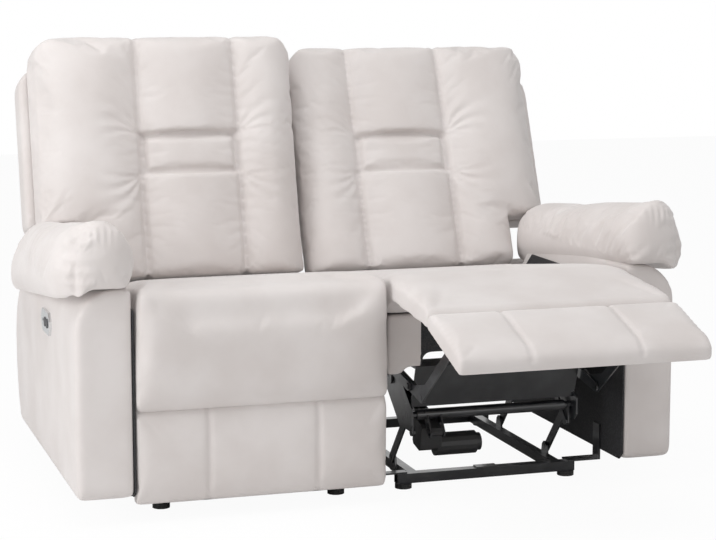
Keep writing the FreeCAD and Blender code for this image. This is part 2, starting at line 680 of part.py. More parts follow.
def rear_ottoman_links(seat):
    """Long links from the side plates, with the short drive arm and its pin through the slot."""
    x0, x1 = seat.lanes(REAR_LINK_LANE)
    arm_end = plus(REAR_PIVOT, heading(seat.rear_angle - CRANK_BEHIND, CRANK))
    link = bar(REAR_PIVOT, seat.rear_end, BAR_R, x0, x1)
    arm = strip(REAR_PIVOT, arm_end, PIN_R + 4, x0, x1)
    pivot = pin(REAR_PIVOT, PIN_R, seat.x + SIDE_LANE - 1, x0)
    drive_pin = pin(arm_end, PIN_R, seat.x + STRAP_LANE, x0)
    head = nut(REAR_PIVOT, x1, x1 + FLUSH_HEAD)
    body = link.multiFuse([arm, pivot, drive_pin, head])
    body = body.cut(hole(seat.rear_end, PIN_R + RUN, x0 - 1, x1 + 1))
    return seat.on_seat(seat.pair([body]))


def upper_ottoman_links(seat):
    """Bell-shaped links from the rear links' ends up to the footrest brackets."""
    x0, x1 = seat.lanes(UPPER_LINK_LANE)
    link = bar(seat.rear_end, seat.upper_end, BAR_R, x0, x1)
    heel = strip(seat.rear_end, seat.heel, BAR_R, x0, x1)
    web = prism([seat.heel, plus(seat.rear_end, heading(seat.upper_angle, 70.0)), seat.rear_end], x0, x1)
    link_pin = pin(seat.rear_end, PIN_R, seat.x + REAR_LINK_LANE, x0)
    heads = [nut(seat.upper_end, x1, x1 + HEAD_T), nut(seat.rear_end, x1, x1 + FLUSH_HEAD)]
    body = link.multiFuse([heel, web, link_pin] + heads)
    body = body.cut(hole(seat.heel, PIN_R + 3, x0 - 1, x1 + 1))
    return seat.on_seat(seat.pair([body]))


def front_ottoman_links(seat):
    """Links beside the rear ones that keep the upper links at their slope."""
    x0, x1 = seat.lanes(FRONT_LINK_LANE)
    end = plus(FRONT_PIVOT, heading(seat.front_angle, REAR_LINK))
    link = bar(FRONT_PIVOT, end, BAR_R - 1, x0, x1)
    pivot = pin(FRONT_PIVOT, PIN_R, seat.x + SIDE_LANE, x0)
    heel_pin = pin(end, PIN_R - 1, seat.x + UPPER_LINK_LANE, x0)
    heads = [nut(FRONT_PIVOT, x1, x1 + HEAD_T), nut(end, x1, x1 + HEAD_T)]
    return seat.on_seat(seat.pair([link.multiFuse([pivot, heel_pin] + heads)]))


LEVER_GAP = 14.0
LEVER_T = 4.0
CLEVIS_PIN_R = 4.0
LEVER_SLOT_R = 7.6
LEVER_HALF = 10.5
LEVER_PAST = 4.0            # how far the slot runs past the pin's outermost place


def torque_tube(seat):
    """The drive's cross tube: journals in the side plates, two cranks and the lever pair."""
    tube = rod(TORQUE_TUBE, TORQUE_R, seat.x - STRAP_LANE + 4, seat.x + STRAP_LANE - 4)
    journals = [pin(TORQUE_TUBE, HEAD_R, seat.x + STRAP_LANE - 5, seat.x + SIDE_LANE + PLATE)]
    x0, x1 = seat.lanes(CRANK_LANE)
    crank_end = plus(TORQUE_TUBE, heading(seat.rear_angle - CRANK_BEHIND, CRANK))
    crank = strip(TORQUE_TUBE, crank_end, PIN_R + 4, x0, x1)
    crank_pin = pin(crank_end, PIN_R, seat.x + STRAP_LANE, x0)
    parts = seat.pair(journals + [crank, crank_pin])
    lever_end = plus(TORQUE_TUBE, heading(seat.lever_angle, LEVER + LEVER_PAST))
    middle = seat.x + MOTOR_X
    slot_in = plus(TORQUE_TUBE, heading(seat.lever_angle, LEVER * math.cos(math.radians(REAR_TURN / 2))))
    for edge in (-LEVER_GAP - LEVER_T, LEVER_GAP):
        plate = strip(TORQUE_TUBE, lever_end, LEVER_HALF, middle + edge, middle + edge + LEVER_T)
        slot = strip(slot_in, lever_end, LEVER_SLOT_R, middle + edge - 1, middle + edge + LEVER_T + 1)
        parts.append(plate.cut(slot))
    return seat.on_seat([tube.multiFuse(parts)])


def drive_straps(seat):
    """Straps from the torque tube's cranks to the rear links' drive pins."""
    x0, x1 = seat.lanes(STRAP_LANE)
    crank_end = plus(TORQUE_TUBE, heading(seat.rear_angle - CRANK_BEHIND, CRANK))
    arm_end = plus(REAR_PIVOT, heading(seat.rear_angle - CRANK_BEHIND, CRANK))
    strap = strip(crank_end, arm_end, PIN_R + 4, x0, x1)
    for point in (crank_end, arm_end):
        strap = strap.cut(hole(point, PIN_R + RUN, x0 - 1, x1 + 1))
    return seat.on_seat(seat.pair([strap]))


GEAR_W = 52.0
GEAR_L = 56.0
GEAR_LOW = 62.0
GEAR_UP = 4.0
MOTOR_R = 27.0
MOTOR_LENGTH = 112.0
MOTOR_CAP = 12.0
MOTOR_SIDES = 16
MOTOR_DROP = 58.0
NECK = 26.0
RAIL_LENGTH = 430.0
DRIVE_RAIL_W = 34.0
DRIVE_RAIL_H = 22.0
SCREW_R = 5.0


def drive_frame(seat, shapes):
    """Turns level shapes at the closed lever pin to the drive's slope and along its stroke."""
    sloped = [turn(shape, LEVER_PIN[0], DRIVE_ANGLE) for shape in shapes]
    return seat.on_seat([shift(shape, seat.drive) for shape in sloped])


def actuator_motor(seat):
    """The gearbox with its clevis lug, and the motor lying across the seat."""
    middle = seat.x + MOTOR_X
    u, z = LEVER_PIN[0]
    lug = strip((u, z), (u - NECK - 4, z), PIN_R + 5, middle - LEVER_GAP + 1, middle + LEVER_GAP - 1)
    clevis = pin((u, z), CLEVIS_PIN_R, middle - LEVER_GAP - LEVER_T - 2, middle + LEVER_GAP + LEVER_T + 2)
    gear = box(middle - GEAR_W / 2, middle + GEAR_W / 2, u - NECK, u - NECK - GEAR_L,
               z - GEAR_LOW, z + GEAR_UP)
    gear = gear.makeChamfer(7.0, [edge for edge in gear.Edges if abs(edge.BoundBox.XLength - GEAR_W) < 1])
    centre = (u - NECK - GEAR_L / 2, z - MOTOR_DROP)
    start = middle + GEAR_W / 2 - 8
    motor = flats(centre, MOTOR_R, start, start + MOTOR_LENGTH - MOTOR_CAP, MOTOR_SIDES)
    cap = flats(centre, MOTOR_R - 6, start, start + MOTOR_LENGTH, MOTOR_SIDES)
    return drive_frame(seat, [gear.multiFuse([lug, clevis, motor, cap])])


def actuator_rail(seat):
    """The drive's channel rail behind the gearbox, with the screw inside it."""
    middle = seat.x + MOTOR_X
    u, z = LEVER_PIN[0]
    start = u - NECK - GEAR_L
    half = DRIVE_RAIL_W / 2
    outer = box(middle - half, middle + half, start, start - RAIL_LENGTH, z - DRIVE_RAIL_H / 2,
                z + DRIVE_RAIL_H / 2)
    inner = box(middle - half + 2, middle + half - 2, start + 1, start - RAIL_LENGTH - 1,
                z - DRIVE_RAIL_H / 2 + 2, z + DRIVE_RAIL_H / 2 + 1)
    screw = rod_along(middle, start, start - RAIL_LENGTH, z, SCREW_R)
    return drive_frame(seat, [outer.cut(inner), screw])


def rod_along(x, u0, u1, z, radius):
    """A many-sided bar that runs front to back."""
    corners = [plus((x, z), heading(360 * (side + 0.5) / PIN_SIDES, radius)) for side in range(PIN_SIDES)]
    spots = [place(across, max(u0, u1), height) for across, height in corners]
    return Part.Face(Part.makePolygon(spots + spots[:1])).extrude(FreeCAD.Vector(0, abs(u1 - u0), 0))


BLOCK_U = -505.0
BLOCK_L = 60.0


def actuator_block(seat):
    """The drive's anchor block: it rides on the screw and hangs from the rear cross tube."""
    middle = seat.x + MOTOR_X
    u, z = LEVER_PIN[0]
    half = DRIVE_RAIL_W / 2 - 3
    front = BLOCK_U + BLOCK_L / 2
    block = box(middle - half, middle + half, front, front - BLOCK_L, z - DRIVE_RAIL_H / 2 + 3,
                z + DRIVE_RAIL_H / 2 + 8)
    block = block.cut(rod_along(middle, front + 1, front - BLOCK_L - 1, z,
                                (SCREW_R + RUN) / math.cos(math.pi / PIN_SIDES)))
    sloped = turn(block, LEVER_PIN[0], DRIVE_ANGLE)
    top = z + math.tan(math.radians(-DRIVE_ANGLE)) * (u - CROSS_BAR_U)
    hanger = box(middle - half, middle + half, CROSS_BAR_U - 9, CROSS_BAR_U + 9, top + 8,
                 CROSS_BAR_Z - 2)
    hanger = hanger.cut(rod((CROSS_BAR_U, CROSS_BAR_Z), TORQUE_R, middle - 50, middle + 50))
    return seat.on_seat([sloped.fuse(hanger)])


def back_point(along, out):
    """A point up the upright back and forward of its middle plane, in the side view."""
    return plus(plus(BACK_FOOT, heading(90 + BACK_LEAN, along)), heading(BACK_LEAN, out))


def on_back(seat, shapes):
    """Solids that ride on the back, turned and moved to its rest pose."""
    return seat.on_seat([turn(shape, BACK_HINGE, seat.back_turned) for shape in shapes])





def front_of_back(seat, corners, cuts, out, depth):
    """A slab with rounded corners laid on the back: its corners are (across, along the back)."""
    face = rounded_face(corners, cuts, lambda across, along: place(seat.x + across, *back_point(along, out)))
    forward = heading(BACK_LEAN, depth)
    return face.extrude(FreeCAD.Vector(0, -forward[0], forward[1]))


def back_cushion(seat):
    """The back pad: wide above the arm, three columns, and a sunk window in the middle one."""
    full = BACK_T - COLUMN_CROWN - 2
    edge = full - EDGE_FALL
    inner = SEAT_HALF - CUSHION_SIDE_GAP
    columns = [-inner, -COLUMN_X, COLUMN_X, WING_OUT]
    outline = [(-inner, 0), (inner, 0), (inner, WING_UP), (WING_OUT, WING_UP), (WING_OUT, BACK_LENGTH),
               (-inner, BACK_LENGTH)]
    if seat.side < 0:
        columns = [-across for across in columns[::-1]]
        outline = [(-across, along) for across, along in outline]
    front = front_of_back(seat, outline, [0, 0, 0, 0, BACK_CORNER_R, BACK_CORNER_R], -1, BACK_T + 3)
    crowns = [EDGE_FALL + 8, COLUMN_CROWN, EDGE_FALL + 8]
    pad = crowned(columns, [edge, full, full, edge], crowns, back_point(BACK_LENGTH + 1, 0),
                  BACK_LEAN - 90, seat.x, BACK_LENGTH + 2)
    slab = rounded_slab(back_point(BACK_LENGTH - 1, SEAM_GAP), BACK_LEAN - 90, BACK_LENGTH - 2, BACK_T,
                        BACK_TOP_R, BACK_FOOT_R, WING_OUT + 1, seat.x)
    half = COLUMN_X - WINDOW_SIDE
    window = prism([back_point(WINDOW_LOW, full + WINDOW_RISE), back_point(WINDOW_HIGH, full + WINDOW_RISE),
                    back_point(WINDOW_HIGH, 2 * BACK_T), back_point(WINDOW_LOW, 2 * BACK_T)],
                   seat.x - half, seat.x + half)
    return on_back(seat, [front.common(pad).common(slab).cut(window)])


SHELL_NARROW = 24.0         # the shell's lower part stays this far inside the cushion's edge
SHELL_FOOT = -26.0
SHELL_PAST = 12.0           # the shell stands this far out past the cushion above the arm
SHELL_CORNER_R = 60.0


def back_frame(seat):
    """The back's upholstered frame: a flat shell with rounded top corners behind the cushion."""
    outer = WING_OUT + SHELL_PAST
    inner = SEAT_HALF + 1.0
    narrow = SEAT_HALF - SHELL_NARROW
    upper = [(-inner, WING_UP), (outer, WING_UP), (outer, SHELL_LENGTH), (-inner, SHELL_LENGTH)]
    upper = [(across * seat.side, along) for across, along in upper]
    lower = [(-narrow, SHELL_FOOT), (narrow, SHELL_FOOT), (narrow, WING_UP + 2), (-narrow, WING_UP + 2)]
    shell = front_of_back(seat, upper, [0, 0, SHELL_CORNER_R, SHELL_CORNER_R], -SHELL_T, SHELL_T)
    foot = front_of_back(seat, lower, [0, 0, 0, 0], -SHELL_T, SHELL_T)
    return on_back(seat, [shell.fuse(foot)])


def back_brackets(seat):
    """Two steel brackets from the back's foot down to its hinge on the side plates."""
    x0, x1 = seat.lanes(LIFT_LANE)
    foot = [back_point(SHELL_FOOT, -60.0), back_point(SHELL_FOOT, -10.0)]
    flange_low = back_point(SHELL_FOOT - 3.0, -10.0)
    flange_rear = back_point(SHELL_FOOT - 3.0, -70.0)
    flange = [flange_low, back_point(SHELL_FOOT, -10.0), back_point(SHELL_FOOT, -70.0), flange_rear]
    arm = [foot[1], foot[0], (BACK_HINGE[0] - 12, BACK_HINGE[1] - 8), (BACK_HINGE[0] + 8, BACK_HINGE[1] + 10)]
    plate = prism(arm, x0, x1).fuse(rod(BACK_HINGE, BAR_R, x0, x1))
    hinge_pin = pin(BACK_HINGE, PIN_R, x1, seat.x + SIDE_LANE + PLATE)
    head = nut(BACK_HINGE, x0 - HEAD_T, x0)
    return on_back(seat, seat.pair([plate.multiFuse([prism(flange, x0 - 30, x1), hinge_pin, head])]))


def arm_body(side):
    """One arm: flat front and side, rounded outer top corner, curved rear edge."""
    rear = ARM_REAR
    x_out = side * OVER_ARMS / 2
    x_in = side * (ARM_IN + LINING_T)
    points = [place(x_in, -15, ARM_FOOT), place(x_in, 0, ARM_FOOT + 15), place(x_in, 0, ARM_TOP),
              place(x_in, -570, ARM_TOP), place(x_in, -640, ARM_REAR_TOP + 8),
              place(x_in, -800, ARM_REAR_TOP)]
    lines = [Part.LineSegment(a, b).toShape() for a, b in zip(points, points[1:])]
    rear_low = place(x_in, rear + 55, ARM_FOOT)
    rear_arc = Part.Arc(points[-1], place(x_in, rear + 13, 330), place(x_in, rear, 240)).toShape()
    low_arc = Part.Arc(place(x_in, rear, 240), place(x_in, rear + 12, 140), rear_low).toShape()
    floor = Part.LineSegment(rear_low, points[0]).toShape()
    face = Part.Face(Part.Wire(lines + [rear_arc, low_arc, floor]))
    body = face.extrude(FreeCAD.Vector(x_out - x_in, 0, 0))
    top = [edge for edge in body.Edges
           if edge.BoundBox.XLength < 0.1 and abs(edge.BoundBox.XMin - x_out) < 0.1
           and edge.BoundBox.ZMin > ARM_TOP - 1]
    body = body.makeFillet(ARM_CORNER_R, top)
    return [body]


def arm_lining(side):
    """The dark board on the arm's inner side."""
    x_in = side * ARM_IN
    outline = [(-20.0, ARM_FOOT + 2), (-4.0, ARM_FOOT + 18), (-4.0, 470.0), (-560.0, 470.0),
               (-640.0, 405.0), (-800.0, 400.0), (-880.0, 300.0), (-890.0, 160.0), (-850.0, ARM_FOOT + 2)]
    return [prism(outline, x_in, x_in + side * LINING_T)]


def arm_pad(side):
    """The stuffed arm pad: a rounded bolster that stands out over the arm's outer side."""
    middle = side * (OVER_ARMS / 2 - ARM_W / 2 + ARM_PAD_OUT)
    low = ARM_TOP + SEAM_GAP
    half = ARM_PAD_W / 2
    high = ARM_PAD_H - ARM_PAD_CROWN
    wide = half + ARM_PAD_BULGE + 1

    def at(across, height):
        return place(middle + across, ARM_PAD_FRONT, low + height)

    edges = [Part.Arc(at(-half, 0), at(-half - ARM_PAD_BULGE, high / 2), at(-half, high)).toShape(),
             Part.Arc(at(-half, high), at(0, ARM_PAD_H), at(half, high)).toShape(),
             Part.Arc(at(half, high), at(half + ARM_PAD_BULGE, high / 2), at(half, 0)).toShape(),
             Part.LineSegment(at(half, 0), at(-half, 0)).toShape()]
    length = ARM_PAD_FRONT - ARM_PAD_REAR
    bolster = Part.Face(Part.Wire(edges)).extrude(FreeCAD.Vector(0, length, 0))
    ends = [(ARM_PAD_REAR, low - 1), (ARM_PAD_FRONT, low - 1), (ARM_PAD_FRONT, low + ARM_PAD_H + 1),
            (ARM_PAD_REAR, low + ARM_PAD_H + 1)]
    from_side = rounded_face(ends, [20, 20, ARM_PAD_END_R, ARM_PAD_END_R],
                             lambda along, height: place(middle - wide, along, height))
    plan = [(-wide, ARM_PAD_REAR), (wide, ARM_PAD_REAR), (wide, ARM_PAD_FRONT), (-wide, ARM_PAD_FRONT)]
    from_above = rounded_face(plan, [ARM_PAD_END_R] * 4,
                              lambda across, along: place(middle + across, along, low - 1))
    bolster = bolster.common(from_side.extrude(FreeCAD.Vector(2 * wide, 0, 0)))
    return [bolster.common(from_above.extrude(FreeCAD.Vector(0, 0, 2 * ARM_PAD_H)))]


def arm_brackets():
    """Angle brackets that bolt the arms to the base's cross tubes."""
    brackets = []
    for side in (-1, 1):
        for cross in (FRONT_CROSS_U, REAR_CROSS_U):
            inner = side * (SEAT_X + CROSS_HALF - 20)
            wall = side * ARM_IN
            flat = box(inner, wall, cross - 18, cross + 18, BASE_TOP, BASE_TOP + PLATE)
            upright = box(wall - side * PLATE, wall, cross - 18, cross + 18, BASE_TOP, BASE_TOP + 85)
            brackets.append(flat.fuse(upright).removeSplitter())
    return brackets


def control_bezel(side):
    """The control panel's frame on the arm's outer side, with two button wells and a socket."""
    wall = side * OVER_ARMS / 2
    face = wall + side * PANEL_T
    half_l, half_h, cut = PANEL_L / 2, PANEL_H / 2, PANEL_CUT
    outline = [(half_l, half_h - cut), (half_l - cut, half_h), (cut - half_l, half_h), (-half_l, half_h - cut),
               (-half_l, cut - half_h), (cut - half_l, -half_h), (half_l - cut, -half_h),
               (half_l, cut - half_h)]
    plate = prism([(PANEL_U + along, PANEL_Z + up) for along, up in outline], wall, face)
    well = (BUTTON_R + RUN) / math.cos(math.pi / BUTTON_SIDES)
    for step in (0, 1):
        plate = plate.cut(flats(button_centre(step), well, wall + side, face + side, BUTTON_SIDES))
    socket = (PANEL_U - SOCKET_BACK, PANEL_Z)
    plate = plate.cut(box(wall + side, face + side, socket[0] - SOCKET_L / 2, socket[0] + SOCKET_L / 2,
                          socket[1] - SOCKET_H / 2, socket[1] + SOCKET_H / 2))
    return [plate]


def button_centre(step):
    """The open button stands at the panel's middle, the close button in front of it."""
    return (PANEL_U + step * BUTTON_PITCH, PANEL_Z)


def panel_button(side, step):
    """A push button in its well, standing a little proud of the panel."""
    wall = side * OVER_ARMS / 2
    bottom = wall + side * (1.0 + BUTTON_TRAVEL + RUN)
    return [flats(button_centre(step), BUTTON_R, bottom, wall + side * (PANEL_T + 2.0), BUTTON_SIDES)]


def centre_connectors():
    """Two flat bars that bolt the left and right base frames together."""
    reach = SEAT_X - CROSS_HALF + 24
    bars = []
    for cross in (FRONT_CROSS_U, REAR_CROSS_U):
        bars.append(box(-reach, reach, cross - 11, cross + 11, BASE_TOP, BASE_TOP + PLATE))
    return bars


PER_SEAT = {
    "base_frame": base_frame,
    "base_glides": base_glides,
    "front_lift_links": lambda seat: lift_links(seat, 0.0),
    "rear_lift_links": lambda seat: lift_links(seat, LIFT_PITCH),
    "seat_side_plates": seat_side_plates,
    "seat_frame": seat_frame,
    "seat_springs": seat_springs,
    "seat_cushion": seat_cushion,
    "torque_tube": torque_tube,
    "drive_straps": drive_straps,
    "rear_ottoman_links": rear_ottoman_links,
    "upper_ottoman_links": upper_ottoman_links,
    "front_ottoman_links": front_ottoman_links,
    "footrest_brackets": footrest_brackets,
    "footrest_board": footrest_board,
    "footrest_pad": footrest_pad,
    "chaise_pad": chaise_pad,
    "actuator_motor": actuator_motor,
    "actuator_rail": actuator_rail,
    "actuator_block": actuator_block,
    "back_frame": back_frame,
    "back_cushion": back_cushion,
    "back_brackets": back_brackets,
}

PER_ARM = {
    "arm_body": arm_body,
    "arm_lining": arm_lining,
    "arm_pad": arm_pad,
    "control_bezel": control_bezel,
    "open_button": lambda side: panel_button(side, 0),
    "close_button": lambda side: panel_button(side, 1),
}

SEATS = [Seat("left", -1, 0.0, 0.0), Seat("right", 1, 1.0, BACK_RECLINED_NOW)]

if __name__ == "__main__":
    os.makedirs("parts", exist_ok=True)
    for one in SEATS:
        for node, make in PER_SEAT.items():
            save(one.name + "_" + node, make(one))
        for node, make in PER_ARM.items():
            save(one.name + "_" + node, make(one.side))
    save("arm_brackets", arm_brackets())
    save("centre_connectors", centre_connectors())
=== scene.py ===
# %% [markdown]
# # A reclining sofa, dressed in Blender
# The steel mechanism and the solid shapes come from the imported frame. This lesson lays the
# upholstery over them: padded backs, seats, footrests and arms, in a pale velvet, and gives the
# black steel, the plastic and the plywood their finishes.
# The left seat stands closed and the right seat open, as in the rest pose of the frame.

# %% The frame
import json
import math

import bmesh
import bpy
import numpy as np
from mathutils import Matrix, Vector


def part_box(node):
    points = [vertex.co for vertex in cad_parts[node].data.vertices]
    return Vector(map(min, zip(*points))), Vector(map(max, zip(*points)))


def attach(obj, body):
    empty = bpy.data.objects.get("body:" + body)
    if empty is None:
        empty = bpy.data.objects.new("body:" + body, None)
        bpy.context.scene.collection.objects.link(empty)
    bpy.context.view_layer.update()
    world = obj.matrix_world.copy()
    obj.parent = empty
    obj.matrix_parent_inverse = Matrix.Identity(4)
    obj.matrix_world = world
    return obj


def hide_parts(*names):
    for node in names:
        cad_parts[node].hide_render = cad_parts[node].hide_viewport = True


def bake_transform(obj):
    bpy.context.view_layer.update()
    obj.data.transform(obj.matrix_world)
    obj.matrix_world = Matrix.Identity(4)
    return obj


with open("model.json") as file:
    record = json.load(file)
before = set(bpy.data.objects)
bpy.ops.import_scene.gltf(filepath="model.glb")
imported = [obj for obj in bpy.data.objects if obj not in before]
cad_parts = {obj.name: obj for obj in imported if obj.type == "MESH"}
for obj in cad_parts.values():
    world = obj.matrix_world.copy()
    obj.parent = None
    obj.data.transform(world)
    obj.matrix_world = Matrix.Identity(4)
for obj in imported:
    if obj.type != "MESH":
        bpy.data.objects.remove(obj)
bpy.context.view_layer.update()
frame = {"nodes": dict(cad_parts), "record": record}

# %% [markdown]
# ## Places
# The seats' places come from the frame's own boxes. The pivots and angles of the flap, the footrest
# and the back are those of the mechanism's rest pose, in metres and degrees.
# A side view has two numbers: how far forward of the arms' front plane, and the height.

# %% Places taken from the frame
SIDES = ("left", "right")
front_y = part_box("left_arm_body")[0].y
seat_low, seat_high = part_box("left_seat_frame")
seat_half = (seat_high.x - seat_low.x) / 2
seat_x = {"left": (seat_low.x + seat_high.x) / 2, "right": -(seat_low.x + seat_high.x) / 2}
open_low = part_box("right_seat_frame")[0]
glide = {"left": (0.0, 0.0), "right": (seat_low.y - open_low.y, open_low.z - seat_low.z)}
back_turned = {"left": 0.0, "right": 8.5}
side_sign = {"left": -1, "right": 1}
print("seat half width", round(seat_half, 3),
      "right seat's glide", [round(v, 4) for v in glide["right"]])

flap_hinge = (-0.007, 0.488)
crease_shut = (-0.025, 0.247)
flap_length = math.dist(flap_hinge, crease_shut)
shut_flap = math.atan2(crease_shut[1] - flap_hinge[1], crease_shut[0] - flap_hinge[0])
flap_angle = {"left": math.degrees(shut_flap), "right": -5.5}
board_angle = {"left": -90.0, "right": -18.0}
footrest_length = 0.208
back_foot = (-0.700, 0.425)
back_hinge = (-0.640, 0.345)
back_lean = 14.0
column_x = 0.124
window_low, window_high = 0.262, 0.352
past_seat = 0.0075          # how far a pad may stand out beside its seat


# %% Side-view helpers
def heading(degrees, length=1.0):
    """The side-view step of a length in a direction, counted from forward towards up."""
    return length * math.cos(math.radians(degrees)), length * math.sin(math.radians(degrees))


def in_side_view(points):
    """World points as three columns: across, forward of the arms' front, height."""
    return np.column_stack([points[:, 0], front_y - points[:, 1], points[:, 2]])


def along_and_out(points, origin, degrees):
    """How far world points lie along a side-view direction and to its left, from an origin."""
    view = in_side_view(points)
    forward = heading(degrees)
    u, z = view[:, 1] - origin[0], view[:, 2] - origin[1]
    return u * forward[0] + z * forward[1], z * forward[0] - u * forward[1]


def back_coordinates(points, name):
    """World points in the back's own measure: across from the seat's middle, up the back, outwards.

    Undoes the seat's glide, turns the back upright about its hinge, then measures along the lean.
    """
    view = in_side_view(points)
    u = view[:, 1] - glide[name][0] - back_hinge[0]
    z = view[:, 2] - glide[name][1] - back_hinge[1]
    cosine, sine = heading(-back_turned[name])
    u, z = (u * cosine - z * sine + back_hinge[0] - back_foot[0],
            u * sine + z * cosine + back_hinge[1] - back_foot[1])
    up, out = heading(90 + back_lean), heading(back_lean)
    return view[:, 0] - seat_x[name], u * up[0] + z * up[1], u * out[0] + z * out[1]


# %% [markdown]
# ## Meshes from arrays
# Each mesh is filled from whole numpy arrays. A closed prism is a side-view loop carried across X,
# which is how an upholsterer thinks of a seat: one side pattern, and a width.

# %% Mesh helpers
def new_piece(name, points, faces):
    """A mesh object at the origin whose places are in its points."""
    mesh = bpy.data.meshes.new(name)
    corners = [list(map(int, face)) for face in faces]
    mesh.from_pydata(np.asarray(points, float).tolist(), [], corners)
    mesh.update()
    piece = bpy.data.objects.new(name, mesh)
    bpy.context.scene.collection.objects.link(piece)
    return piece


def side_prism(name, loop, x_low, x_high):
    """A closed side-view loop carried across: point = (x, front - u, z) for the two ends x."""
    loop = np.asarray(loop, float)
    count = len(loop)
    ends = [np.column_stack([np.full(count, x), front_y - loop[:, 0], loop[:, 1]])
            for x in (x_low, x_high)]
    here = np.arange(count)
    following = np.roll(here, -1)
    walls = np.column_stack([here, following, following + count, here + count])
    caps = [here[::-1].tolist(), (here + count).tolist()]
    piece = new_piece(name, np.vstack(ends), walls.tolist() + caps)
    outward(piece)
    return piece


def outward(piece):
    """Turns every face outwards."""
    work = bmesh.new()
    work.from_mesh(piece.data)
    bmesh.ops.remove_doubles(work, verts=work.verts, dist=1e-5)
    bmesh.ops.recalc_face_normals(work, faces=work.faces)
    work.to_mesh(piece.data)
    work.free()


def copy_of(node, name):
    """A merged copy of a CAD node's mesh, as a new piece."""
    piece = bpy.data.objects.new(name, frame["nodes"][node].data.copy())
    piece.data.materials.clear()
    bpy.context.scene.collection.objects.link(piece)
    outward(piece)
    return piece


def places_of(piece):
    """The vertices' places as one array."""
    places = np.empty(len(piece.data.vertices) * 3)
    piece.data.vertices.foreach_get("co", places)
    return places.reshape(-1, 3)


def put_places(piece, places):
    """Moves the vertices to an array of places."""
    piece.data.vertices.foreach_set("co", np.ascontiguousarray(places, float).ravel())
    piece.data.update()


def normals_of(piece):
    """The vertices' outward directions as one array."""
    normals = np.empty(len(piece.data.vertices) * 3)
    piece.data.vertices.foreach_get("normal", normals)
    return normals.reshape(-1, 3)


def apply_modifiers(piece):
    """Replaces the mesh by what its modifiers make of it."""
    depsgraph = bpy.context.evaluated_depsgraph_get()
    mesh = bpy.data.meshes.new_from_object(piece.evaluated_get(depsgraph))
    piece.modifiers.clear()
    old = piece.data
    piece.data = mesh
    bpy.data.meshes.remove(old)


# %% [markdown]
# ## Padding
# A pad starts as a plain solid. A voxel remesh gives it an even net of small faces, and smoothing
# rounds its edges as foam does. Cloth with pressure then swells it like a stuffed cover: the
# points on its seams and on its hidden back are held, everything else may bulge up to a cap.

# %% Even net and soft edges
def even_net(piece, voxel, rounds):
    """A voxel remesh at one edge length, then rounds of smoothing that soften the edges."""
    remesh = piece.modifiers.new("net", "REMESH")
    remesh.mode = "VOXEL"
    remesh.voxel_size = voxel
    smooth = piece.modifiers.new("soft", "SMOOTH")
    smooth.factor = 0.5
    smooth.iterations = rounds
    apply_modifiers(piece)
    print(piece.name, "net of", len(piece.data.vertices), "points")


# %% Swelling by cloth and pressure
CLOTH_FRAMES = 20


def swell(piece, held, cap, slack=0.0):
    """Cloth with pressure; held points stay, the others move at most by the cap.

    The cap is soft: move = cap * tanh(free move / cap).
    """
    start = places_of(piece)
    group = piece.vertex_groups.new(name="held")
    group.add(np.flatnonzero(held).tolist(), 1.0, "REPLACE")
    cloth = piece.modifiers.new("cover", "CLOTH")
    cloth.settings.quality = 4
    cloth.settings.mass = 0.3
    cloth.settings.tension_stiffness = 15
    cloth.settings.compression_stiffness = 15
    cloth.settings.shear_stiffness = 5
    cloth.settings.bending_stiffness = 0.4
    cloth.settings.vertex_group_mass = "held"
    cloth.settings.use_pressure = True
    cloth.settings.uniform_pressure_force = 3.0
    cloth.settings.shrink_min = -slack
    cloth.settings.shrink_max = -slack
    cloth.settings.effector_weights.gravity = 0
    cloth.collision_settings.use_collision = False
    cloth.point_cache.frame_start = 1
    cloth.point_cache.frame_end = CLOTH_FRAMES
    for number in range(1, CLOTH_FRAMES + 1):
        bpy.context.scene.frame_set(number)
    depsgraph = bpy.context.evaluated_depsgraph_get()
    swollen = piece.evaluated_get(depsgraph).to_mesh()
    places = np.empty(len(swollen.vertices) * 3)
    swollen.vertices.foreach_get("co", places)
    piece.evaluated_get(depsgraph).to_mesh_clear()
    piece.modifiers.clear()
    piece.vertex_groups.clear()
    bpy.context.scene.frame_set(1)
    move = places.reshape(-1, 3) - start
    size = np.linalg.norm(move, axis=1, keepdims=True)
    limit = cap * np.tanh(size / cap)
    put_places(piece, start + move * limit / np.maximum(size, 1e-9))
    print(piece.name, "swelled by up to", round(float(limit.max()) * 1000, 1), "mm")


def widen(piece, middle, inner, outer):
    """Stretches a piece sideways about its seat's middle, by one factor to each side of it."""
    places = places_of(piece)
    across = places[:, 0] - middle
    places[:, 0] = middle + across * np.where(across * middle < 0, inner, outer)
    put_places(piece, places)


def keep_between(piece, middle, half):
    """Presses a piece's sides flat where they would pass a half width, as a neighbour does."""
    places = places_of(piece)
    places[:, 0] = np.clip(places[:, 0], middle - half, middle + half)
    put_places(piece, places)


def press_in(piece, depth):
    """Moves every point inwards along its normal by a depth array: seams, channels and creases."""
    put_places(piece, places_of(piece) - normals_of(piece) * depth[:, None])


def groove(distance, width):
    """A soft groove's depth share: 1 on its line, falling as a bell of the given width."""
    return np.exp(-(distance / width) ** 2)


def finish_pad(piece):
    """Velvet, smooth shading and one live subdivision on a padded piece."""
    piece.data.materials.append(velvet)
    piece.data.polygons.foreach_set("use_smooth", np.ones(len(piece.data.polygons), bool))
    rounder = piece.modifiers.new("rounder", "SUBSURF")
    rounder.levels = 1
    rounder.render_levels = 1
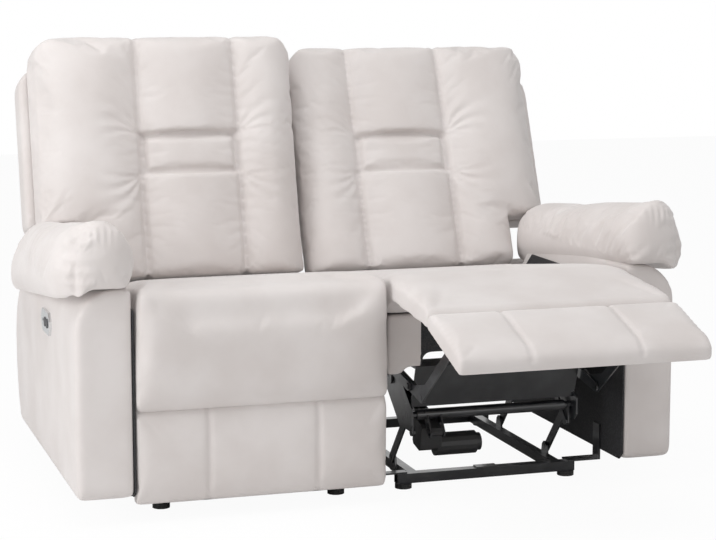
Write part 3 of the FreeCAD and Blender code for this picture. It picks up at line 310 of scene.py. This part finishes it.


# %% [markdown]
# ## The finishes
# Velvet is matt with a soft bright edge, which is the sheen of its pile. Its colour drifts a little
# in broad lighter and darker patches, a painted sheen for the light that crushed pile catches
# where it lies differently, and a very fine bump breaks the light. The noises are read from Object
# coordinates. The painted steel has a thin coat, and its roughness drifts.

# %% Materials
def shader(name, colour, roughness, metallic=0.0, sheen=0.0, coat=0.0):
    """A material with one Principled shader, and its node tree for more."""
    material = bpy.data.materials.new(name)
    material.use_nodes = True
    surface = material.node_tree.nodes["Principled BSDF"]
    surface.inputs["Base Color"].default_value = (*colour, 1)
    surface.inputs["Roughness"].default_value = roughness
    surface.inputs["Metallic"].default_value = metallic
    surface.inputs["Sheen Weight"].default_value = sheen
    surface.inputs["Sheen Roughness"].default_value = 0.4
    surface.inputs["Coat Weight"].default_value = coat
    surface.inputs["Coat Roughness"].default_value = 0.12
    return material, surface


def noise(material, scale, detail=3.0, stretch=(1, 1, 1)):
    """A noise texture on Object coordinates."""
    tree = material.node_tree
    places = tree.nodes.new("ShaderNodeTexCoord")
    mapping = tree.nodes.new("ShaderNodeMapping")
    mapping.inputs["Scale"].default_value = stretch
    texture = tree.nodes.new("ShaderNodeTexNoise")
    texture.inputs["Scale"].default_value = scale
    texture.inputs["Detail"].default_value = detail
    tree.links.new(places.outputs["Object"], mapping.inputs["Vector"])
    tree.links.new(mapping.outputs["Vector"], texture.inputs["Vector"])
    return texture


def colours_by(material, surface, texture, stops):
    """Colours the surface by a texture's value: two stops of (value, colour)."""
    tree = material.node_tree
    ramp = tree.nodes.new("ShaderNodeValToRGB")
    for element, (value, colour) in zip(ramp.color_ramp.elements, stops):
        element.position = value
        element.color = (*colour, 1)
    tree.links.new(texture.outputs["Fac"], ramp.inputs["Fac"])
    tree.links.new(ramp.outputs["Color"], surface.inputs["Base Color"])


def rough_by(material, surface, texture, low, high):
    """Lets the roughness drift between two values with a texture."""
    tree = material.node_tree
    span = tree.nodes.new("ShaderNodeMapRange")
    span.inputs["To Min"].default_value = low
    span.inputs["To Max"].default_value = high
    tree.links.new(texture.outputs["Fac"], span.inputs["Value"])
    tree.links.new(span.outputs["Result"], surface.inputs["Roughness"])


def bump_by(material, surface, textures):
    """Adds bumps one after another: each is (texture, depth in metres, strength)."""
    tree = material.node_tree
    before = None
    for texture, depth, strength in textures:
        bump = tree.nodes.new("ShaderNodeBump")
        bump.inputs["Distance"].default_value = depth
        bump.inputs["Strength"].default_value = strength
        tree.links.new(texture.outputs["Fac"], bump.inputs["Height"])
        if before:
            tree.links.new(before.outputs["Normal"], bump.inputs["Normal"])
        before = bump
    tree.links.new(before.outputs["Normal"], surface.inputs["Normal"])


velvet, velvet_surface = shader("velvet", (0.66, 0.618, 0.60), 0.85, sheen=0.3)
# Broad lighter and darker patches on the velvet: painted sheen of the crushed pile, not dye.
colours_by(velvet, velvet_surface, noise(velvet, 7.0, 4.0),
           [(0.35, (0.625, 0.58, 0.562)), (0.68, (0.685, 0.645, 0.63))])
rough_by(velvet, velvet_surface, noise(velvet, 30.0), 0.75, 0.95)
bump_by(velvet, velvet_surface, [(noise(velvet, 1100.0, 2.0), 0.0004, 0.35),
                                 (noise(velvet, 60.0, 4.0), 0.0008, 0.3)])

lining, lining_surface = shader("arm_lining", (0.02, 0.02, 0.022), 0.8)
colours_by(lining, lining_surface, noise(lining, 240.0),
           [(0.4, (0.014, 0.014, 0.016)), (0.7, (0.035, 0.035, 0.038))])
bump_by(lining, lining_surface, [(noise(lining, 900.0), 0.0004, 0.5)])

steel, steel_surface = shader("black_steel", (0.012, 0.013, 0.015), 0.3, coat=0.5)
colours_by(steel, steel_surface, noise(steel, 16.0),
           [(0.4, (0.009, 0.010, 0.012)), (0.7, (0.022, 0.023, 0.026))])
rough_by(steel, steel_surface, noise(steel, 45.0), 0.22, 0.42)
bump_by(steel, steel_surface, [(noise(steel, 260.0, 2.0), 0.0003, 0.25)])

plastic, plastic_surface = shader("black_plastic", (0.018, 0.018, 0.019), 0.5)
rough_by(plastic, plastic_surface, noise(plastic, 200.0), 0.42, 0.6)
bump_by(plastic, plastic_surface, [(noise(plastic, 1400.0, 1.0), 0.0002, 0.4)])

glide_plastic, glide_surface = shader("glide_plastic", (0.015, 0.015, 0.015), 0.6)
bump_by(glide_plastic, glide_surface, [(noise(glide_plastic, 700.0), 0.0002, 0.4)])

spring_steel, spring_surface = shader("spring_steel", (0.24, 0.24, 0.25), 0.35, metallic=1.0)
rough_by(spring_steel, spring_surface, noise(spring_steel, 90.0), 0.28, 0.5)

plywood, plywood_surface = shader("plywood", (0.5, 0.35, 0.2), 0.6)
colours_by(plywood, plywood_surface, noise(plywood, 9.0, 5.0, (1, 14, 14)),
           [(0.35, (0.36, 0.23, 0.12)), (0.7, (0.62, 0.45, 0.27))])
bump_by(plywood, plywood_surface, [(noise(plywood, 60.0, 3.0, (1, 9, 9)), 0.0003, 0.3)])

chrome, chrome_surface = shader("panel_chrome", (0.78, 0.79, 0.80), 0.2, metallic=0.85)
rough_by(chrome, chrome_surface, noise(chrome, 300.0, 2.0, (1, 1, 12)), 0.16, 0.3)

button_plastic, button_surface = shader("button_plastic", (0.05, 0.05, 0.055), 0.4)
bump_by(button_plastic, button_surface, [(noise(button_plastic, 1500.0), 0.0001, 0.3)])

finish_of = {"upholstery": velvet, "arm_lining": lining, "black_steel": steel,
             "black_plastic": plastic, "glide_plastic": glide_plastic, "spring_steel": spring_steel,
             "plywood": plywood, "panel_chrome": chrome, "button_plastic": button_plastic}
for part in frame["record"]["subparts"]:
    node = frame["nodes"][part["node"]]
    node.data.materials.clear()
    node.data.materials.append(finish_of[part["material_slot"]])
print(len(finish_of), "finishes on", len(frame["nodes"]), "nodes")


# %% [markdown]
# ## The back cushions
# Each back is one stuffed cover with three columns and a small sunken pad in the middle, like a
# letter H laid on the cloth. The seams are held while the stuffing swells, so the columns crown
# between them. The stitching then draws a narrow channel, and the cloth gathers in creases that
# run out from the four corners of the sunken pad.

# %% Back cushions
def window_distance(across, along):
    """The signed distance to the sunken pad's border: the larger of its two side excesses."""
    middle = (window_low + window_high) / 2
    high = (window_high - window_low) / 2
    inset = 0.008
    return np.maximum(np.abs(across) - column_x + inset, np.abs(along - middle) - high)


def corner_creases(across, along, side):
    """Creases that fan out from the sunken pad's four corners, deeper on the arm's side.

    Round each corner the depth is amount * sector * (1 + cos(15 turned + 60 reach)) / 2, under
    a bell with its top at a reach of 35 mm. The sector fades it beside the outer quarter.
    """
    arm_depth, middle_depth = 0.0065, 0.0042
    quarter_middle, quarter_half = 0.75, 0.95
    depth = np.zeros(len(across))
    for corner_side in (-1, 1):
        for height, lean in ((window_low, -1), (window_high, 1)):
            right = (across - corner_side * column_x) * corner_side
            up = (along - height) * lean
            reach = np.hypot(right, up)
            turned = np.arctan2(up, right)
            sector = np.clip(1 - np.abs(turned - quarter_middle) / quarter_half, 0, 1) ** 0.7
            amount = arm_depth if corner_side == side else middle_depth
            wave = 0.5 + 0.5 * np.cos(turned * 15 + 6 * reach / 0.1)
            depth += amount * sector * wave * groove(reach - 0.035, 0.075) * (reach > 0.004)
    return depth


def back_cushion(name):
    """One back: the solid's net, swelled between its held seams, then stitched and creased."""
    rear, face_from, face_ramp = 0.012, 0.03, 0.02
    piece = copy_of(name + "_back_cushion", name + "_back_pad")
    even_net(piece, 0.0068, 12)
    widen(piece, seat_x[name], inner=1.03, outer=0.975)
    across, along, out = back_coordinates(places_of(piece), name)
    seam = np.abs(np.abs(across) - column_x)
    border = np.abs(window_distance(across, along))
    front = out > face_from
    held = (out < rear) | (front & (seam < 0.005)) | (front & (border < 0.006))
    swell(piece, held, cap=0.020, slack=0.008)

    across, along, out = back_coordinates(places_of(piece), name)
    front = np.clip((out - face_from) / face_ramp, 0, 1)
    seam = np.abs(np.abs(across) - column_x)
    below = along < window_low
    top_edge = along > window_high - 0.01
    depth = 0.010 * groove(seam, 0.007) * below + 0.006 * groove(seam, 0.006) * ~below
    depth += ((0.013 + 0.006 * top_edge) * groove(window_distance(across, along), 0.007)
              + corner_creases(across, along, side_sign[name]))
    press_in(piece, depth * front)
    finish_pad(piece)
    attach(piece, name + "_back")
    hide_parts(name + "_back_cushion")


for name in SIDES:
    back_cushion(name)


# %% [markdown]
# ## The chaise covers
# On a recliner like this one the seat and the flap in front of it share one cover, so no gap
# opens when the footrest comes up. The cover is one pad, shaped bent at the flap's hinge to each
# seat's flap angle. Its side pattern is a loop of the seat, the rolled front and the flap.

# %% The chaise cover's side pattern
def from_point(point, direction, along, out):
    """The side-view point at a distance along a direction and to its left."""
    ahead, left = heading(direction), heading(direction + 90)
    return (point[0] + ahead[0] * along + left[0] * out,
            point[1] + ahead[1] * along + left[1] * out)


def arc(centre, radius, start, end, count):
    """Points on a side-view arc: centre plus radius times the heading of each angle."""
    turned = np.radians(np.linspace(start, end, count))
    return np.column_stack([centre[0] + radius * np.cos(turned),
                            centre[1] + radius * np.sin(turned)])


def straight(start, end, count):
    """Evenly spaced points between two side-view points, the last left out."""
    share = np.linspace(0, 1, count, endpoint=False)[:, None]
    return np.array([start]) * (1 - share) + np.array([end]) * share


def chaise_loop(turned):
    """Seat top, roll over the hinge and flap face, then back along the flap, and under the seat."""
    roll, behind = 0.031, -0.0185
    far = flap_length + 0.005
    top_rear, top_front = (-0.630, 0.436), (-0.050, 0.5155)
    under_front, under_rear = (-0.058, 0.4325), (-0.630, 0.3855)
    face = from_point(flap_hinge, turned, 0, roll)
    shoulder = from_point(face, turned, far - 0.034, 0)
    bend = from_point(shoulder, turned, 0.020, -0.005)
    edge = from_point(face, turned, far, -0.021)
    edge_back = from_point(flap_hinge, turned, far, behind)
    near_back = from_point(flap_hinge, turned, 0, behind)
    pieces = [straight(top_rear, top_front, 30),
              arc(flap_hinge, roll, 97, turned + 90, 10)[:-1],
              straight(face, shoulder, 14), straight(shoulder, bend, 3),
              straight(bend, edge, 4), straight(edge, edge_back, 3)]
    if turned < -45:
        inner_corner = (near_back[0], 0.440)
        pieces.append(straight(edge_back, inner_corner, 12))
        pieces.append(straight(inner_corner, (-0.040, 0.4345), 2))
    else:
        pieces.append(straight(edge_back, near_back, 12))
        pieces.append(straight(near_back, (-0.033, 0.450), 3))
    pieces.append(straight(under_front, under_rear, 26))
    pieces.append(straight(under_rear, top_rear, 5))
    return np.vstack(pieces)


# %% Chaise covers
def chaise_cover(name):
    """One cover, held under the seat, behind the flap and at its end seam, bent at the hinge."""
    turned, middle, (glide_u, glide_z) = flap_angle[name], seat_x[name], glide[name]
    wider = 0.010
    loop = chaise_loop(turned) + np.array([glide[name]])
    piece = side_prism(name + "_chaise_cover", loop,
                       middle - seat_half - wider, middle + seat_half + wider)
    even_net(piece, 0.0075, 22)
    places = places_of(piece)
    view = in_side_view(places) - [middle, glide_u, glide_z]
    hinge = (flap_hinge[0] + glide_u, flap_hinge[1] + glide_z)
    along_flap, out_flap = along_and_out(places, hinge, turned)
    under_seat = (view[:, 1] < -0.03) & (view[:, 2] < 0.40 + 0.095 * (view[:, 1] + 0.6))
    behind_flap = (along_flap > 0.03) & (out_flap < -0.014)
    end_seam = along_flap > flap_length - 0.012
    swell(piece, under_seat | behind_flap | end_seam, cap=0.011)
    keep_between(piece, middle, seat_half + past_seat)
    finish_pad(piece)
    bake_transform(piece)
    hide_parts(name + "_seat_cushion", name + "_chaise_pad")


for name in SIDES:
    chaise_cover(name)


# %% [markdown]
# ## The footrest pads
# The lower front panel is a thin pad in three columns over its board. It swings out past the
# flap, so it is a pad of its own that rides on the footrest.

# %% Footrest pads
def footrest_pad(name):
    """A thin pad round its board: a side pattern from the crease to the rounded far edge."""
    middle, direction = seat_x[name], board_angle[name]
    wider = 0.008
    lead = heading(flap_angle[name], flap_length)
    crease = (flap_hinge[0] + glide[name][0] + lead[0], flap_hinge[1] + glide[name][1] + lead[1])
    far, back, face = footrest_length, -0.021, 0.026
    outline = [(-0.005, back), (-0.006, 0.010), (0.010, 0.021), (0.032, face), (far - 0.030, face),
               (far - 0.004, 0.013), (far + 0.001, -0.006), (far - 0.002, back)]
    corners = [from_point(crease, direction, along, out) for along, out in outline]
    loop = np.vstack([straight(a, b, 6) for a, b in zip(corners, corners[1:] + corners[:1])])
    piece = side_prism(name + "_footrest_cover", loop,
                       middle - seat_half - wider, middle + seat_half + wider)
    even_net(piece, 0.006, 10)

    def measured():
        """Each point's distance from the crease, out of the board, and from a column seam."""
        places = places_of(piece)
        along, out = along_and_out(places, crease, direction)
        return along, out, np.abs(np.abs(places[:, 0] - middle) - column_x)

    along, out, seam = measured()
    swell(piece, (out < -0.012) | ((seam < 0.004) & (out > 0)) | (along < 0.010), cap=0.010)
    keep_between(piece, middle, seat_half + past_seat)
    along, out, seam = measured()
    press_in(piece, 0.005 * groove(seam, 0.005) * (out > 0))
    finish_pad(piece)
    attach(piece, name + "_footrest")
    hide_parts(name + "_footrest_pad")


for name in SIDES:
    footrest_pad(name)


# %% [markdown]
# ## The arms
# The arm is a boxy panel with a rounded outer edge, and a stuffed pillow lies on top of it. The
# pillow is gathered at its front outer corner, where short pleats run from a stitched seam.

# %% Arm pillows
def lay_down(piece, side):
    """Settles an arm pillow: longer and lower to the back, drooping outside, tapered in front."""
    longer, lower, droop, narrower = 0.30, 0.085, 0.030, 0.042
    places = places_of(piece)
    forward = front_y - places[:, 1]
    outside = places[:, 0] * side
    places[:, 1] += longer * np.clip(-forward - 0.10, 0, 1)
    places[:, 2] -= lower * np.clip(-forward / 0.56, 0, 1.1)
    places[:, 2] -= droop * np.clip((outside - 0.670) / 0.075, 0, 1) ** 1.5
    taper = np.clip((forward + 0.13) / 0.15, 0, 1) ** 2 * np.clip((outside - 0.62) / 0.12, 0, 1)
    places[:, 0] -= side * narrower * taper
    put_places(piece, places)


def gathers(x, height, seam_x):
    """The depth of the stitched seam, of the pleats beside it, and of a row of pleats near the top.

    Pleats are waves (1 + cos(pi x / pitch)) / 2, deepest at the seam or on the row's line.
    """
    seam_top, pleat_middle, row_height = 0.1, 0.05, 0.118
    from_seam = np.hypot(x - seam_x, (height - pleat_middle) * 0.35)
    pleats = 0.5 + 0.5 * np.cos(height / 0.013 * np.pi)
    row = 0.5 + 0.5 * np.cos(x / 0.0075 * np.pi)
    depth = 0.006 * groove(x - seam_x, 0.006) * (height < seam_top)
    depth += 0.0035 * pleats * groove(from_seam, 0.035)
    depth += 0.0028 * row * groove(height - row_height, 0.018)
    return depth


def arm_pillow(name):
    """The stuffed pad on top of the arm, gathered at its front outer corner."""
    side = side_sign[name]
    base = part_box(name + "_arm_pad")[0].z
    pillow = copy_of(name + "_arm_pad", name + "_arm_pillow")
    even_net(pillow, 0.0062, 8)
    lay_down(pillow, side)
    seam_x, front = side * 0.700, front_y + 0.03
    places = places_of(pillow)
    height = places[:, 2] - base
    seam = (np.abs(places[:, 0] - seam_x) < 0.006) & (places[:, 1] < front) & (height < 0.09)
    swell(pillow, (height < 0.012) | seam, cap=0.012, slack=0.02)

    places = places_of(pillow)
    height = places[:, 2] - base
    near_front = np.clip((front + 0.02 - places[:, 1]) / 0.03, 0, 1)
    press_in(pillow, gathers(places[:, 0], height, seam_x) * near_front)
    finish_pad(pillow)
    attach(pillow, "root")
    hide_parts(name + "_arm_pad")


# %% Arm panels
def covered_frame(node, piece_name, body, voxel, rounds):
    """A frame with cloth pulled tight over it: the node's own shape with softened edges."""
    piece = copy_of(node, piece_name)
    even_net(piece, voxel, rounds)
    finish_pad(piece)
    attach(piece, body)
    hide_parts(node)
    return piece


for name in SIDES:
    covered_frame(name + "_arm_body", name + "_arm_panel", "root", 0.009, 9)
    arm_pillow(name)


# %% [markdown]
# ## Covered frames
# The back shells and the seat boxes are wooden frames with cloth pulled tight over them. They
# keep the frame's shape, with edges softened by the padding under the cloth.

# %% Back shells and seat boxes
def line_inside(piece, middle):
    """The seat box is cloth only on its outer walls: the rest of it is black lining."""
    wall = 0.080
    mesh = piece.data
    mesh.materials.append(lining)
    middles = np.empty(len(mesh.polygons) * 3)
    mesh.polygons.foreach_get("center", middles)
    inside = np.abs(middles.reshape(-1, 3)[:, 0] - middle) < seat_half - wall
    mesh.polygons.foreach_set("material_index", inside.astype(int))
    mesh.update()


for name in SIDES:
    shell, box = name + "_back_frame", name + "_seat_frame"
    covered_frame(shell, shell + "_cover", name + "_back", 0.009, 6)
    line_inside(covered_frame(box, box + "_cover", name + "_seat", 0.008, 3), seat_x[name])


# %% [markdown]
# ## Camera, floor and light
# The camera stands where the photograph was taken from. The floor glows white to the camera and
# keeps a faint shadow. The lamps are large and soft, strongest from the left and from above.

# %% Camera
camera_data = bpy.data.cameras.new("camera")
camera_data.lens = 100.06
camera_data.sensor_width = 36.0
camera = bpy.data.objects.new("camera", camera_data)
camera.location = (-1.379, front_y - 4.119, 1.171)
camera.rotation_euler = (math.radians(90 - 8.35), 0, math.radians(-17.6))
bpy.context.scene.collection.objects.link(camera)
bpy.context.scene.camera = camera

# %% Floor and world
floor_half = 9
floor_corners = [(floor_half * x, floor_half * y, 0)
                 for x, y in ((-1, -1), (1, -1), (1, 1), (-1, 1))]
floor = new_piece("floor", floor_corners, [(0, 1, 2, 3)])
paper = bpy.data.materials.new("paper")
paper.use_nodes = True
tree = paper.node_tree
matt = tree.nodes["Principled BSDF"]
matt.inputs["Base Color"].default_value = (0.9, 0.9, 0.9, 1)
matt.inputs["Roughness"].default_value = 1.0
matt.inputs["Specular IOR Level"].default_value = 0.0
glow = tree.nodes.new("ShaderNodeEmission")
glow.inputs["Strength"].default_value = 1.0
seen = tree.nodes.new("ShaderNodeLightPath")
share = tree.nodes.new("ShaderNodeMath")
share.operation = "MULTIPLY"
share.inputs[1].default_value = 0.95
blend_node = tree.nodes.new("ShaderNodeMixShader")
tree.links.new(seen.outputs["Is Camera Ray"], share.inputs[0])
tree.links.new(share.outputs["Value"], blend_node.inputs["Fac"])
tree.links.new(matt.outputs["BSDF"], blend_node.inputs[1])
tree.links.new(glow.outputs["Emission"], blend_node.inputs[2])
tree.links.new(blend_node.outputs["Shader"], tree.nodes["Material Output"].inputs["Surface"])
floor.data.materials.append(paper)

world = bpy.data.worlds.new("studio")
bpy.context.scene.world = world
world.use_nodes = True
tree = world.node_tree
room = tree.nodes["Background"]
room.inputs["Color"].default_value = (1, 1, 1, 1)
room.inputs["Strength"].default_value = 0.42
white = tree.nodes.new("ShaderNodeBackground")
white.inputs["Color"].default_value = (1, 1, 1, 1)
white.inputs["Strength"].default_value = 1.0
seen = tree.nodes.new("ShaderNodeLightPath")
either = tree.nodes.new("ShaderNodeMath")
either.operation = "MAXIMUM"
choose = tree.nodes.new("ShaderNodeMixShader")
tree.links.new(seen.outputs["Is Camera Ray"], either.inputs[0])
tree.links.new(seen.outputs["Is Glossy Ray"], either.inputs[1])
tree.links.new(either.outputs["Value"], choose.inputs["Fac"])
tree.links.new(room.outputs["Background"], choose.inputs[1])
tree.links.new(white.outputs["Background"], choose.inputs[2])
tree.links.new(choose.outputs["Shader"], tree.nodes["World Output"].inputs["Surface"])


# %% Lamps
def lamp(name, place, target, size, watts):
    """A square soft lamp that faces a target."""
    data = bpy.data.lights.new(name, "AREA")
    data.size = size
    data.energy = watts
    piece = bpy.data.objects.new(name, data)
    piece.location = place
    aim = [t - p for t, p in zip(target, place)]
    level = math.hypot(aim[0], aim[1])
    piece.rotation_euler = (math.atan2(level, -aim[2]), 0, math.atan2(aim[1], aim[0]) - math.pi / 2)
    bpy.context.scene.collection.objects.link(piece)


lamp("top", (-0.4, -0.7, 3.4), (0, 0, 0.4), 2.6, 56)
lamp("left", (-3.7, -0.9, 1.5), (0, 0, 0.5), 2.2, 68)
lamp("front", (0.8, -4.4, 1.6), (0, 0, 0.4), 2.5, 25)

bpy.context.scene.view_settings.view_transform = "Standard"
